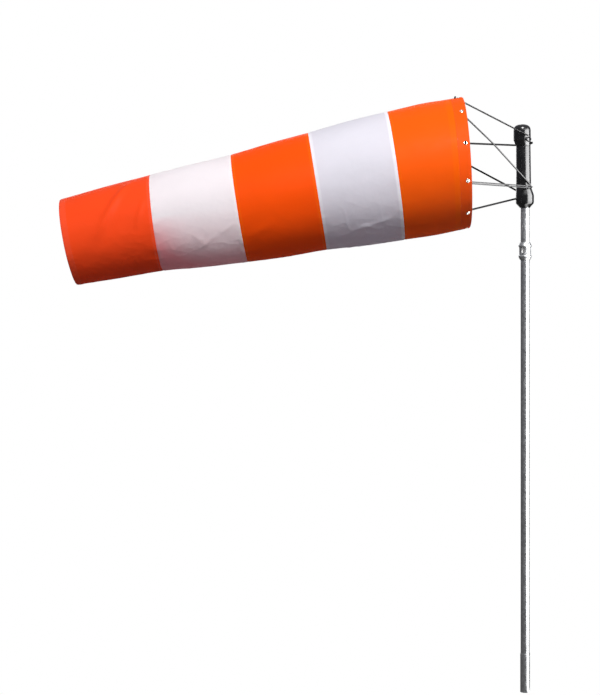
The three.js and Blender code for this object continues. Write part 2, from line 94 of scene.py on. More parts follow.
def mesh_object(name, points, faces, material, smooth=True):
    """A mesh object from points and faces, with one material."""
    mesh = bpy.data.meshes.new(name)
    mesh.from_pydata([tuple(p) for p in points], [], [tuple(f) for f in faces])
    mesh.validate()
    mesh.materials.append(material)
    mesh.polygons.foreach_set("use_smooth", [smooth] * len(mesh.polygons))
    mesh.update()
    made = bpy.data.objects.new(name, mesh)
    bpy.context.scene.collection.objects.link(made)
    return made


def sharpen(made, degrees):
    """Edges that turn by more than the angle stay crisp under smooth shading."""
    made.data.set_sharp_from_angle(angle=rad(degrees))


def distance_along(points):
    """How far along a polyline each of its points is."""
    return np.concatenate([[0], np.cumsum(np.linalg.norm(np.diff(points, axis=0), axis=1))])


def unit(vectors):
    return vectors / np.linalg.norm(vectors, axis=-1, keepdims=True)


def corner_points(mesh):
    """The index of the point that each face corner stands on."""
    corner = np.empty(len(mesh.loops), int)
    mesh.loops.foreach_get("vertex_index", corner)
    return corner


def set_values(layer, key, values):
    layer.data.foreach_set(key, values.astype(np.float32).reshape(-1))


def ring_faces(low, high, sides):
    """The faces between two rings of points, from the index at which each ring starts."""
    return [(low + j, low + k, high + k, high + j) for j, k in enumerate([*range(1, sides), 0])]


def dress(made, body, slot, *nodes):
    """Put a rigid piece on its body, in place of its CAD nodes. Its slot is not used."""
    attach(made, body)
    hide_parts(*nodes)


def joined(name, parts):
    """Several mesh objects as one."""
    with bpy.context.temp_override(
        active_object=parts[0], selected_editable_objects=parts, selected_objects=parts
    ):
        bpy.ops.object.join()
    parts[0].name = name
    parts[0].data.name = name
    return parts[0]


def hermite(xs, ys, x):
    """A smooth curve through the points (xs, ys), read at x."""
    xs, ys = np.asarray(xs, float), np.asarray(ys, float)
    slopes = np.gradient(ys, xs)
    x = np.asarray(x, float)
    i = np.clip(np.searchsorted(xs, x, side="right") - 1, 0, len(xs) - 2)
    h = xs[i + 1] - xs[i]
    t = (x - xs[i]) / h
    return (
        (2 * t**3 - 3 * t**2 + 1) * ys[i]
        + (t**3 - 2 * t**2 + t) * h * slopes[i]
        + (3 * t**2 - 2 * t**3) * ys[i + 1]
        + (t**3 - t**2) * h * slopes[i + 1]
    )


# ---- Materials ----


class Nodes:
    """A short way to write the nodes of a material or of the world."""

    def __init__(self, name, world=False):
        self.owner = (bpy.data.worlds if world else bpy.data.materials).new(name)
        self.owner.use_nodes = True
        self.tree = self.owner.node_tree
        self.tree.nodes.clear()
        self.out = self.add("ShaderNodeOutputWorld" if world else "ShaderNodeOutputMaterial")

    def add(self, kind, inputs=(), **settings):
        node = self.tree.nodes.new(kind)
        for key, value in settings.items():
            setattr(node, key, value)
        for key, value in dict(inputs).items():
            if isinstance(value, bpy.types.NodeSocket):
                self.tree.links.new(value, node.inputs[key])
            else:
                node.inputs[key].default_value = value
        return node

    def math(self, operation, a, b=0.0):
        return self.add("ShaderNodeMath", {0: a, 1: b}, operation=operation).outputs[0]

    def mix(self, factor, a, b, blend="MIX"):
        node = self.add("ShaderNodeMix", {0: factor, 6: a, 7: b}, data_type="RGBA", blend_type=blend)
        return node.outputs[2]

    def ramp(self, value, low, high, to_low=0.0, to_high=1.0):
        inputs = {0: value, 1: low, 2: high, 3: to_low, 4: to_high}
        return self.add("ShaderNodeMapRange", inputs).outputs[0]

    def noise(self, scale, detail=3.0, vector=None, stretch=None):
        vector = vector or self.add("ShaderNodeTexCoord").outputs["Object"]
        if stretch:
            vector = self.add("ShaderNodeMapping", {"Vector": vector, "Scale": stretch}).outputs[0]
        return self.add("ShaderNodeTexNoise", {"Vector": vector, "Scale": scale, "Detail": detail}).outputs[0]

    def bump(self, height, strength, distance, normal=None):
        inputs = {"Height": height, "Strength": strength, "Distance": distance}
        if normal:
            inputs["Normal"] = normal
        return self.add("ShaderNodeBump", inputs).outputs[0]

    def finish(self, shader):
        self.tree.links.new(shader.outputs[0], self.out.inputs["Surface"])
        return self.owner

    def surface(self, inputs):
        return self.finish(self.add("ShaderNodeBsdfPrincipled", inputs))


def colour(r, g, b):
    return (r, g, b, 1.0)


def cloth_material(name, plain, doubled, through, crinkle, thin=0.22):
    """Coated woven nylon: plain colour, the colour where it is doubled, what light through it takes on, how
    deeply it is crinkled, and the share of the light that comes through."""
    n = Nodes(name)
    cloth = n.add("ShaderNodeUVMap", uv_map="cloth").outputs[0]
    double = n.add("ShaderNodeAttribute", attribute_name="double").outputs["Fac"]
    painted_bounce = n.add("ShaderNodeAttribute", attribute_name="painted_bounce").outputs["Fac"]
    patch = n.ramp(n.noise(9.0, 4.0), 0.35, 0.7)
    fade = n.ramp(n.noise(45.0, 3.0), 0.3, 0.75)
    shade = n.mix(n.math("MULTIPLY", patch, 0.35), plain, [c * 0.9 for c in plain[:3]] + [1.0])
    shade = n.mix(n.math("MULTIPLY", fade, 0.12), shade, [min(1.0, c * 1.12) for c in plain[:3]] + [1.0])
    shade = n.mix(n.math("MULTIPLY", double, 0.85), shade, doubled)
    # painted orange bounce light and shade: a pink tint multiplied into the colour, read from the per-point
    # attribute
    shade = n.mix(painted_bounce, shade, colour(1.0, 0.42, 0.45), "MULTIPLY")
    warp = n.add("ShaderNodeTexWave", {"Vector": cloth, "Scale": 700.0}, bands_direction="X").outputs[1]
    weft = n.add("ShaderNodeTexWave", {"Vector": cloth, "Scale": 700.0}, bands_direction="Y").outputs[1]
    weave = n.math("MULTIPLY", warp, weft)
    creases = n.noise(70.0, 6.0)
    normal = n.bump(creases, crinkle, 0.0012)
    normal = n.bump(weave, 0.12, 0.00012, normal)
    rough = n.ramp(n.noise(30.0, 4.0), 0.3, 0.7, 0.42, 0.58)
    face = n.add(
        "ShaderNodeBsdfPrincipled",
        {
            "Base Color": shade,
            "Roughness": rough,
            "Specular IOR Level": 0.06,
            "Sheen Weight": 0.02,
            "Sheen Roughness": 0.4,
            "Normal": normal,
        },
    )
    glow = n.add("ShaderNodeBsdfTranslucent", {"Color": through, "Normal": normal})
    return n.finish(n.add("ShaderNodeMixShader", {0: thin, 1: face.outputs[0], 2: glow.outputs[0]}))


def cord_material(name, dark, light, gloss, rough=0.4):
    """Braided polyester cord: the strands of the braid are in the mesh, and their fibres are here."""
    n = Nodes(name)
    cloth = n.add("ShaderNodeUVMap", uv_map="cloth").outputs[0]
    waves = {"Vector": cloth, "Scale": 900.0, "Distortion": 2.0}
    fibres = n.add("ShaderNodeTexWave", waves, bands_direction="DIAGONAL")
    shade = n.mix(n.ramp(n.noise(300.0, 3.0), 0.35, 0.7), dark, light)
    normal = n.bump(fibres.outputs[1], 0.3, 0.0001)
    inputs = {"Base Color": shade, "Roughness": rough, "Specular IOR Level": gloss, "Normal": normal}
    return n.surface(inputs)


def thread_material(name, tint):
    n = Nodes(name)
    shade = n.mix(n.noise(400.0, 2.0), tint, [c * 0.7 for c in tint[:3]] + [1.0])
    inputs = {"Base Color": shade, "Roughness": 0.6, "Sheen Weight": 0.2}
    return n.surface(inputs)


PAINTED_END = 0.016  # how far the white painted highlight runs along each pipe from the joint


def galvanised_material(name, window_highlight=False):
    """Hot-dip zinc: pale crystals, dull patches and fine runs down the pole. With the second argument set, both
    pipe ends get a white band at the joint, a painted highlight that shows in the coupling's window."""
    n = Nodes(name)
    where = n.add("ShaderNodeTexCoord").outputs["Object"]
    flat = n.add("ShaderNodeMapping", {"Vector": where, "Scale": (1.0, 1.0, 0.6)}).outputs[0]
    crystals = n.add("ShaderNodeTexVoronoi", {"Vector": flat, "Scale": 160.0}).outputs["Color"]
    grain = n.add("ShaderNodeSeparateColor", {0: crystals}).outputs[0]
    runs = n.noise(1.0, 5.0, where, (70.0, 70.0, 3.0))
    dull = n.ramp(n.noise(5.0, 5.0), 0.35, 0.75)
    shade = n.mix(grain, colour(0.47, 0.48, 0.49), colour(0.58, 0.59, 0.6))
    shade = n.mix(n.ramp(runs, 0.5, 0.75, 0.0, 0.45), shade, colour(0.33, 0.335, 0.34))
    shade = n.mix(n.math("MULTIPLY", dull, 0.35), shade, colour(0.40, 0.41, 0.42))
    rough = n.math("ADD", n.ramp(grain, 0.0, 1.0, 0.26, 0.36), n.math("MULTIPLY", dull, 0.12))
    normal = n.bump(grain, 0.08, 0.0003)
    normal = n.bump(n.noise(1.0, 4.0, where, (400.0, 400.0, 9.0)), 0.12, 0.0002, normal)
    metal = 0.9
    # a white, non-metallic band round the joint: a painted highlight that shows through the coupling's window
    if window_highlight:
        height = n.add("ShaderNodeSeparateXYZ", {0: where}).outputs[2]
        at_joint = {0: height, 1: POLE_JOINT, 2: PAINTED_END}
        painted = n.add("ShaderNodeMath", at_joint, operation="COMPARE").outputs[0]
        shade = n.mix(painted, shade, colour(0.95, 0.95, 0.93))
        metal = n.ramp(painted, 0.0, 1.0, 0.9, 0.0)
    inputs = {"Base Color": shade, "Metallic": metal, "Roughness": rough, "Normal": normal}
    return n.surface(inputs)


def metal_material(name, base, worn, rough, scale=60.0):
    """Machined or plated metal with light handling marks."""
    n = Nodes(name)
    marks = n.ramp(n.noise(scale, 6.0), 0.45, 0.7)
    lines = n.noise(1.0, 3.0, None, (900.0, 900.0, 60.0))
    shade = n.mix(n.math("MULTIPLY", marks, 0.5), base, worn)
    inputs = {
        "Base Color": shade,
        "Metallic": 1.0,
        "Roughness": n.ramp(marks, 0.0, 1.0, rough, rough + 0.18),
        "Normal": n.bump(lines, 0.08, 0.0001),
    }
    return n.surface(inputs)


def moulding_material(name, rough):
    """Glossy black plastic with a fine orange peel, rubbed patches and a little dust."""
    n = Nodes(name)
    rubbed = n.ramp(n.noise(22.0, 6.0), 0.45, 0.75)
    dust = n.ramp(n.noise(140.0, 5.0), 0.55, 0.8)
    shade = n.mix(n.math("MULTIPLY", dust, 0.12), colour(0.003, 0.003, 0.0035), colour(0.05, 0.05, 0.052))
    normal = n.bump(n.noise(260.0, 2.0), 0.05, 0.0004)
    normal = n.bump(n.noise(1.0, 5.0, None, (300.0, 300.0, 14.0)), 0.06, 0.0002, normal)
    inputs = {
        "Base Color": shade,
        "Roughness": n.ramp(rubbed, 0.0, 1.0, rough, rough + 0.14),
        "Specular IOR Level": 0.6,
        "Coat Weight": 0.5,
        "Coat Roughness": 0.16,
        "Normal": normal,
    }
    return n.surface(inputs)


FABRICS = {
    key: cloth_material(name, colour(*plain), colour(*doubled), colour(*through), *rest)
    for key, name, plain, doubled, through, *rest in (
        ("band_1", "orange_fabric", (1.0, 0.122, 0.004), (1.0, 0.136, 0.001), (1.0, 0.14, 0.004), 0.10),
        ("band_2", "white_fabric", (0.80, 0.79, 0.84), (0.97, 0.97, 1.0), (0.86, 0.84, 0.95), 0.28, 0.30),
        ("band_3", "orange_fabric_mid", (1.0, 0.092, 0.003), (1.0, 0.118, 0.001), (1.0, 0.10, 0.003), 0.12),
        ("band_4", "white_fabric_rear", (0.97, 0.95, 0.97), (0.99, 0.98, 0.99), (1.0, 0.90, 0.92), 0.24, 0.36),
        ("band_5", "red_orange_fabric", (1.0, 0.080, 0.014), (1.0, 0.095, 0.030), (1.0, 0.09, 0.02), 0.15),
        ("hem", "hem_fabric", (1.0, 0.112, 0.006), (1.0, 0.10, 0.006), (1.0, 0.12, 0.006), 0.10),
    )
}
THREADS = {
    "orange": thread_material("orange_thread", colour(0.95, 0.09, 0.01)),
    "white": thread_material("white_thread", colour(0.85, 0.85, 0.86)),
}
BLACK_CORD = cord_material("black_cord", colour(0.004, 0.004, 0.004), colour(0.010, 0.010, 0.011), 0.15)
WAXED_CORD = cord_material(
    "black_cord_waxed", colour(0.006, 0.006, 0.006), colour(0.02, 0.02, 0.021), 1.0, 0.22
)
GREY_CORD = cord_material("grey_cord", colour(0.030, 0.030, 0.032), colour(0.085, 0.085, 0.088), 0.6)
GALVANISED = galvanised_material("galvanised_steel")
GALVANISED_WINDOW_HIGHLIGHT = galvanised_material("galvanised_steel_painted_highlight", window_highlight=True)
BRIGHT_STEEL = metal_material("bright_steel", colour(0.62, 0.63, 0.64), colour(0.4, 0.4, 0.41), 0.22)
BRONZE = metal_material("bronze", colour(0.6, 0.4, 0.2), colour(0.35, 0.22, 0.1), 0.28)
PLATED = metal_material("eyelet_metal", colour(0.93, 0.90, 0.82), colour(0.75, 0.7, 0.6), 0.12, 200.0)
BLACK_WIRE = metal_material("black_wire", colour(0.03, 0.03, 0.033), colour(0.09, 0.09, 0.095), 0.3)
MOULDING = moulding_material("black_moulding", 0.22)


# ---- Camera, floor and light ----


def make_camera():
    """Level with the head and far off, turned a little towards the pole."""
    data = bpy.data.cameras.new("camera")
    data.lens = 98.4
    data.shift_x = -0.0682
    data.shift_y = -0.206
    data.clip_end = 200.0
    camera = bpy.data.objects.new("camera", data)
    camera.location = (-0.7905, -7.22, 1.8555)
    camera.rotation_euler = (rad(90), 0, rad(-0.905))
    bpy.context.scene.collection.objects.link(camera)
    bpy.context.scene.camera = camera


def area_light(name, place, at, width, height, power):
    data = bpy.data.lights.new(name, "AREA")
    data.shape = "RECTANGLE"
    data.size, data.size_y = width, height
    data.energy = power
    light = bpy.data.objects.new(name, data)
    light.location = place
    light.visible_camera = False
    light.rotation_euler = (Vector(at) - Vector(place)).to_track_quat("-Z", "Y").to_euler()
    bpy.context.scene.collection.objects.link(light)
    return light


def make_studio():
    """A floor and a surround that are white to the camera only. The key and the far fill light the object. The
    floor's bright pool and the two side cards are seen only in reflections."""
    scene = bpy.context.scene
    scene.view_settings.view_transform = "Standard"
    scene.view_settings.look = "None"

    n = Nodes("surround", world=True)
    height = n.add("ShaderNodeSeparateXYZ", {0: n.add("ShaderNodeTexCoord").outputs["Generated"]}).outputs[2]
    sky = n.add("ShaderNodeValToRGB", {0: height})
    low, high = sky.color_ramp.elements
    low.position, low.color = 0.0, colour(0.11, 0.11, 0.13)
    high.position, high.color = 0.75, colour(0.36, 0.36, 0.38)
    light = n.add("ShaderNodeBackground", {0: sky.outputs[0], 1: 1.0})
    seen = n.add("ShaderNodeBackground", {0: colour(1, 1, 1), 1: 1.0})
    camera_ray = n.add("ShaderNodeLightPath").outputs["Is Camera Ray"]
    pick = {0: camera_ray, 1: light.outputs[0], 2: seen.outputs[0]}
    scene.world = n.finish(n.add("ShaderNodeMixShader", pick))

    n = Nodes("pale_floor")
    bounce = n.add("ShaderNodeBsdfDiffuse", {"Color": colour(0.21, 0.20, 0.21)})
    pale = n.add("ShaderNodeEmission", {"Color": colour(1, 1, 1), "Strength": 1.0})
    place = n.add("ShaderNodeSeparateXYZ", {0: n.add("ShaderNodeTexCoord").outputs["Object"]}).outputs
    bearing = n.math("ARCTAN2", place[0], n.math("MULTIPLY", place[1], -1.0))  # from the near side to the right
    lit = n.math("MULTIPLY", n.ramp(bearing, rad(30), rad(38)), n.ramp(bearing, rad(92), rad(100), 1.0, 0.0))
    pool = n.add("ShaderNodeEmission", {"Color": colour(1, 1, 1), "Strength": n.ramp(lit, 0.0, 1.0, 0.1, 3.2)})
    rays = n.add("ShaderNodeLightPath").outputs
    pick = {0: rays["Is Glossy Ray"], 1: bounce.outputs[0], 2: pool.outputs[0]}
    mirrored = n.add("ShaderNodeMixShader", pick)
    pick = {0: rays["Is Camera Ray"], 1: mirrored.outputs[0], 2: pale.outputs[0]}
    material = n.finish(n.add("ShaderNodeMixShader", pick))
    half = 60.0
    corners = [(-half, -half, 0), (half, -half, 0), (half, half, 0), (-half, half, 0)]
    mesh_object("floor", corners, [(0, 1, 2, 3)], material)

    area_light("key", (0.3, -4.9, 6.3), (-0.9, 0, 1.9), 2.6, 2.6, 540)
    for name, z, height, power in (("side_high", 2.15, 0.7, 26), ("side_low", 0.9, 1.8, 25)):
        side = area_light(name, (1.0, -0.47, z), (0, 0, z), 1.38, height, power)
        side.visible_diffuse = False  # these only put the highlight down the head and the pole
        side.visible_transmission = False
    area_light("far_fill", (-1.5, 5.5, 3.2), (-0.9, 0, 1.9), 4.0, 3.0, 70)


make_camera()
make_studio()


# ---- The sock's shape ----


def stations():
    """Distance along the sock, x, z, radius and lean at the mouth, each seam and the tail."""
    rows = [[0.0, MOUTH["x"], MOUTH["z"], MOUTH["radius"], MOUTH["lean"]]]
    for band in BANDS:
        s, x, z, _, _ = rows[-1]
        along, down = math.cos(rad(band["slope"])), math.sin(rad(band["slope"]))
        length = band["length"]
        rows.append([s + length, x - length * along, z - length * down, band["radius"], band["lean"]])
    return np.array(rows)


STATIONS = stations()
SEAMS = STATIONS[:, 0]
LENGTH = SEAMS[-1]


def ring_at(s):
    """Centre x and z, radius and lean (radians) of the sock's ring at distance s from the mouth."""
    x, z, radius, lean = (hermite(SEAMS, STATIONS[:, k], s) for k in (1, 2, 3, 4))
    return x, z, radius, np.radians(lean)


NOISE_RADIUS = 0.21  # the sock's middling radius, which sizes the noise's cells round it


def cloth_noise(s, phi, across, along, seed, twist=0.0):
    """Smooth random values from -1 to 1 over the cloth, in cells of a size across and along it."""
    columns = max(5, round(TURN * NOISE_RADIUS / across))
    rows = int(LENGTH / along) + 4
    values = np.random.default_rng(seed).uniform(-1, 1, (rows, columns))
    u = (phi + twist * s) / TURN * columns
    v = np.asarray(s) / along + 1
    i, j = np.floor(v).astype(int), np.floor(u).astype(int)
    fv, fu = v - i, u - j
    fv, fu = (f * f * f * (f * (6 * f - 15) + 10) for f in (fv, fu))
    i = np.clip(i, 0, rows - 2)
    a, b = values[i, j % columns], values[i, (j + 1) % columns]
    c, d = values[i + 1, j % columns], values[i + 1, (j + 1) % columns]
    return (a * (1 - fu) + b * fu) * (1 - fv) + (c * (1 - fu) + d * fu) * fv


# Soft folds where the wind lets the cloth go slack: the band, where the fold starts and ends, as a share of the
# band's length and an angle in degrees from the near side up, then its width and its height.
FOLDS = [
    (4, (0.16, 74), (0.66, -6), 0.015, 0.0070),
    (4, (0.06, 34), (0.20, -4), 0.010, 0.0030),
    (4, (0.30, 20), (0.85, -35), 0.030, -0.0030),
    (0, (0.98, 78), (0.30, 88), 0.012, 0.0016),
    (3, (0.28, -22), (0.52, -40), 0.009, 0.0018),
    (3, (0.55, -18), (0.42, -36), 0.012, 0.0012),
    (3, (0.02, -12), (0.25, -24), 0.009, 0.0020),
    (1, (0.10, -38), (0.70, -46), 0.010, 0.0024),
    (1, (0.25, -50), (0.60, -40), 0.008, 0.0018),
    (2, (0.55, -20), (0.95, -34), 0.020, 0.0020),
    (4, (0.20, 150), (0.70, 205), 0.022, 0.0035),
    (3, (0.70, 215), (0.30, 190), 0.012, 0.0025),
    (2, (0.20, 160), (0.75, 200), 0.018, 0.0020),
    (1, (0.35, 225), (0.80, 205), 0.010, 0.0022),
]


def fold_height(fold, s, phi):
    """How far one fold lifts the cloth: a ridge along a line that dies out at both ends."""
    k, (t0, a0), (t1, a1), width, height = fold
    front, length, radius = SEAMS[k], BANDS[k]["length"], BANDS[k]["radius"]
    ax, ay = front + t0 * length, radius * rad(a0)
    dx, dy = (t1 - t0) * length, radius * rad(a1 - a0)
    across = np.remainder(phi - rad((a0 + a1) / 2) + math.pi, TURN) - math.pi + rad((a0 + a1) / 2)
    px, py = s - ax, radius * across - ay
    t = (px * dx + py * dy) / (dx * dx + dy * dy)
    off = (px * dy - py * dx) / math.hypot(dx, dy)
    ends = np.clip(t, 0, 1) * np.clip(1 - t, 0, 1) * 4
    return height * np.exp(-((off / width) ** 2)) * ends


def relief(s, phi):
    """How far the wind-filled cloth stands off its plain cone."""
    s, phi = np.broadcast_arrays(np.asarray(s, float), np.asarray(phi, float))
    inside = np.clip(s, 0, LENGTH)
    to_seam = np.min([np.abs(inside - seam) for seam in SEAMS], axis=0)
    k = np.clip(np.searchsorted(SEAMS, inside, side="right") - 1, 0, len(BANDS) - 1)
    share = (inside - SEAMS[k]) / (SEAMS[k + 1] - SEAMS[k])
    free = 1 - np.exp(-inside / 0.06)  # the hoop holds the mouth true
    slack = np.clip(0.35 - np.sin(phi), 0, 1.2) / 1.2  # more in the lower half
    loose = np.array([0.35, 1.0, 0.6, 1.0, 0.8])[k]
    lift = 0.0022 * np.sin(math.pi * share) ** 2
    lift -= 0.0008 * np.exp(-((to_seam / 0.006) ** 2))
    lift += 0.0012 * free * cloth_noise(inside, phi, 0.10, 0.34, 3, 0.5)
    lift += 0.0007 * free * cloth_noise(inside, phi, 0.05, 0.16, 5, -0.8)
    pucker = cloth_noise(inside, phi, 0.017, 0.2, 11) + 0.6 * cloth_noise(inside, phi, 0.009, 0.2, 12)
    lift += 0.0006 * free * (0.5 + loose) * pucker * np.exp(-to_seam / 0.018)
    patch = 0.5 + 0.5 * cloth_noise(inside, phi, 0.09, 0.12, 31)
    for seed, twist, size in ((21, 1.5, 0.050), (22, -2.5, 0.036), (23, 5.0, 0.024)):
        crinkle = 1 - np.abs(cloth_noise(inside, phi, size, size * 1.3, seed, twist)) * 2
        lift += 0.022 * size * free * loose * (0.12 + slack * patch) * np.clip(crinkle, 0, 1) ** 2
    crimp = cloth_noise(inside, phi, 0.011, 0.013, 33) * np.exp(-(((inside - SEAMS[3]) / 0.028) ** 2))
    lift += 0.0011 * slack * crimp * (k == 3)
    for fold in FOLDS:
        lift += fold_height(fold, inside, phi)
    return lift


def sock(s, phi, offset=0.0):
    """Points on the sock: s from the mouth, phi from the near side up over the top."""
    s, phi = np.broadcast_arrays(np.asarray(s, float), np.asarray(phi, float))
    x, z, radius, lean = ring_at(s)
    out = radius + offset + relief(s, phi)
    up = out * np.sin(phi)
    return np.stack([x - up * np.sin(lean), -out * np.cos(phi), z + up * np.cos(lean)], axis=-1)


def frame_on_sock(s, phi, offset=0.0):
    """A point on the cloth with the directions along it, round it and out of it."""
    step = 0.002
    p = sock(s, phi, offset)
    along = sock(s + step, phi, offset) - sock(s - step, phi, offset)
    turn = step / MOUTH["radius"]
    around = sock(s, phi + turn, offset) - sock(s, phi - turn, offset)
    along, around = unit(along), unit(around)
    out = np.cross(around, along)
    x, z, _, _ = ring_at(s)
    centre = np.stack([x, np.zeros_like(x), z], axis=-1)
    flip = np.sign(np.sum(out * (p - centre), axis=-1, keepdims=True))
    return p, along, around, unit(out) * flip


# ---- Sheets of cloth ----


HOLE_FACE = 0.0022  # how far in from the outer face an eyelet's hole reaches
HOLE_EASE = 0.0023  # how far round a hole the cloth is drawn in to its edge


def sheet_mesh(name, profile, columns, material, double, painted_bounce=None, hole_radius=None):
    """A closed sheet of cloth carried round the sock along a profile of (s, offset) points.

    double is a function of s that says how much the cloth is doubled, and the next argument one of s and phi
    that says how much painted orange bounce light and shade goes into its colour from the orange beside it.
    With hole_radius, the cloth is cut away at each eyelet."""
    profile = np.array(profile)
    rows = len(profile)
    phi = np.arange(columns) / columns * TURN
    s, offset = profile[:, 0][:, None], profile[:, 1][:, None]
    grid = sock(s, phi[None, :], offset)
    run = distance_along(profile)
    radius = float(ring_at(profile[:, 0].mean())[2])

    keep = np.ones((rows, columns), bool)
    if hole_radius:
        for angle in EYELET_ANGLES:
            turn = np.remainder(phi - rad(angle) + math.pi, TURN) - math.pi
            dx, dy = s - EYELET_BACK, MOUTH["radius"] * turn[None, :]
            far = np.hypot(dx, dy)
            flat = np.abs(offset) < HOLE_FACE
            keep &= ~((far < hole_radius) & flat)
            edge = flat & (far >= hole_radius) & (far < hole_radius + HOLE_EASE)
            pull = np.where(edge, hole_radius / np.maximum(far, 1e-9), 1.0)
            moved = sock(EYELET_BACK + dx * pull, rad(angle) + dy * pull / MOUTH["radius"], offset)
            grid = np.where(edge[..., None], moved, grid)

    index = np.arange(rows * columns).reshape(rows, columns)
    right = np.roll(index, -1, axis=1)
    quads = np.stack([index[:-1], right[:-1], right[1:], index[1:]], axis=-1).reshape(-1, 4)
    quads = quads[keep.reshape(-1)[quads].all(axis=1)]

    # The outward side follows the profile, so a folded edge turns over with it.
    tangent_s = np.gradient(grid, axis=0)
    tangent_u = np.roll(grid, -1, axis=1) - np.roll(grid, 1, axis=1)
    normal = np.cross(tangent_s, tangent_u)
    normal /= np.maximum(np.linalg.norm(normal, axis=-1, keepdims=True), 1e-12)
    outer = (grid + normal * CLOTH / 2).reshape(-1, 3)
    inner = (grid - normal * CLOTH / 2).reshape(-1, 3)

    # The rim joins the two sides wherever an edge has a face on one side only.
    count = rows * columns
    edges = np.concatenate([quads[:, [i, (i + 1) % 4]] for i in range(4)])
    keys = np.sort(edges, axis=1)
    _, first, uses = np.unique(keys[:, 0] * count + keys[:, 1], return_index=True, return_counts=True)
    rim = edges[first[uses == 1]]
    walls = np.stack([rim[:, 0], rim[:, 1], rim[:, 1] + count, rim[:, 0] + count], axis=1)
    faces = np.concatenate([quads[:, ::-1], quads + count, walls])
    used = np.unique(faces)
    renumber = np.full(2 * count, -1)
    renumber[used] = np.arange(len(used))
    points = np.concatenate([outer, inner])[used]
    faces = renumber[faces]

    made = mesh_object(name, points, faces, material)
    mesh = made.data
    column = (np.arange(2 * count) % columns)[used]
    row = ((np.arange(2 * count) % count) // columns)[used]
    corner = corner_points(mesh)
    u = column[corner] / columns
    per_face = u.reshape(-1, 4)
    wraps = (per_face.max(axis=1) - per_face.min(axis=1)) > 0.5
    per_face[wraps] = np.where(per_face[wraps] < 0.5, per_face[wraps] + 1, per_face[wraps])
    uv = np.stack([u * TURN * radius, run[row[corner]]], axis=1)
    set_values(mesh.uv_layers.new(name="cloth"), "uv", uv)
    set_values(mesh.attributes.new("double", "FLOAT", "POINT"), "value", double(profile[:, 0])[row])
    # the painted bounce light and shade, stored on each point for the material
    if painted_bounce:
        values = painted_bounce(profile[row, 0], column / columns * TURN)
        set_values(mesh.attributes.new("painted_bounce", "FLOAT", "POINT"), "value", values)
    sharpen(made, 50)
    return made


def spaced(start, end, step):
    """Even steps from start to end, both included."""
    return np.linspace(start, end, max(2, math.ceil(abs(end - start) / step) + 1))


def folded_edge(s, into, width):
    """The profile of an edge folded inside, from its raw edge to the fold at s. into is 1 or -1, towards the
    cloth."""
    inner = [(s + into * d, -LAYER) for d in spaced(width, 0.0008, 0.004)]
    return inner + [(s + into * 0.0002, -LAYER * 0.8), (s, -LAYER * 0.5), (s + into * 0.0002, -LAYER * 0.15)]


def band_profile(k):
    """A band's cut panel: folded in at each seam, or tucked under the mouth's hem, or hemmed at the tail."""
    front, rear = SEAMS[k], SEAMS[k + 1]
    last = k == len(BANDS) - 1
    if k == 0:
        start = [(s, -0.0009) for s in spaced(HEM_LENGTH - 0.008, HEM_LENGTH - 0.001, 0.003)]
        start += [(HEM_LENGTH + 0.001, -0.0005)]
        front = HEM_LENGTH + 0.003
    else:
        start = folded_edge(front, 1, ALLOWANCE)
        front += 0.0012
    end = folded_edge(rear, -1, TAIL_HEM if last else ALLOWANCE)[::-1]
    middle = [(s, 0.0) for s in spaced(front, rear - 0.0012, 0.0042)]
    return start + middle + end


def doubled_near(k):
    """How much a band is doubled along its length: its seam allowances and the tail's hem."""
    front, rear = SEAMS[k], SEAMS[k + 1]
    rear_width = TAIL_HEM if k == len(BANDS) - 1 else ALLOWANCE

    def double(s):
        at_front = np.clip(((ALLOWANCE if k else 0.070) - (s - front)) / 0.002, 0, 1)
        at_rear = np.clip((rear_width - (rear - s)) / 0.002, 0, 1)
        return np.maximum(at_front, at_rear)

    return double


def painted_bounce_of(k):
    """Painted bounce light and shade: white cloth gets a pink tint multiplied into its colour, as if it picked
    up orange light from its neighbours, most of all low down, underneath and towards the tail.
    """
    front, rear = SEAMS[k], SEAMS[k + 1]
    depth = {1: 0.06, 3: 0.5}[k]

    def painted_bounce(s, phi):
        low = np.clip(0.10 - np.sin(phi), 0, 1)
        back = 0.45 + 0.55 * np.clip((s - front) / (rear - front), 0, 1)
        edge = 0.05 * np.exp(-np.minimum(s - front, rear - s) / 0.02)
        corner = low**0.6 * np.exp(-(((rear - s) / 0.075) ** 1.5)) * (depth > 0.3)
        under = np.clip((-0.62 - np.sin(phi)) / 0.3, 0, 1) * depth * 0.9
        return np.clip(depth * low * back + edge + corner + under, 0, 1)

    return painted_bounce


def hem_profile():
    """The mouth's hem tape: flat outside, round the hoop and flat inside."""
    outside = [(s, 0.0) for s in spaced(HEM_LENGTH, HOOP["back"] + 0.0012, 0.0021)]
    turn = HOOP["depth"] - CLOTH / 2
    roll = [
        (HOOP["back"] - turn * math.sin(a), -HOOP["depth"] + turn * math.cos(a))
        for a in np.linspace(0, math.pi, 13)
    ]
    neck = [(0.0066, -0.0080), (0.0082, -0.0062), (0.0092, -0.0038), (0.0106, -0.0022)]
    inside = [(s, -0.0018) for s in spaced(0.0126, HEM_LENGTH, 0.0021)]
    return outside + roll + neck + inside


def bend_between(made, k):
    """A piece of band 0 rides on the mouth's body; a piece of any other band stays where it was built."""
    if k == 0:
        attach(made, "mouth")
        return
    _, x, z, _, lean = STATIONS[k]
    _, rear_x, rear_z, rear_radius, rear_lean = STATIONS[k + 1]
    back = Vector((-math.cos(rad(lean)), 0, -math.sin(rad(lean))))
    start = Vector((x, 0, z))
    reach = (Vector((rear_x, 0, rear_z)) - start).dot(back)
    reach -= (rear_radius + 0.01) * abs(math.sin(rad(rear_lean - lean)))
    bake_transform(made)


def circumference(s):
    return TURN * float(ring_at(s)[2])


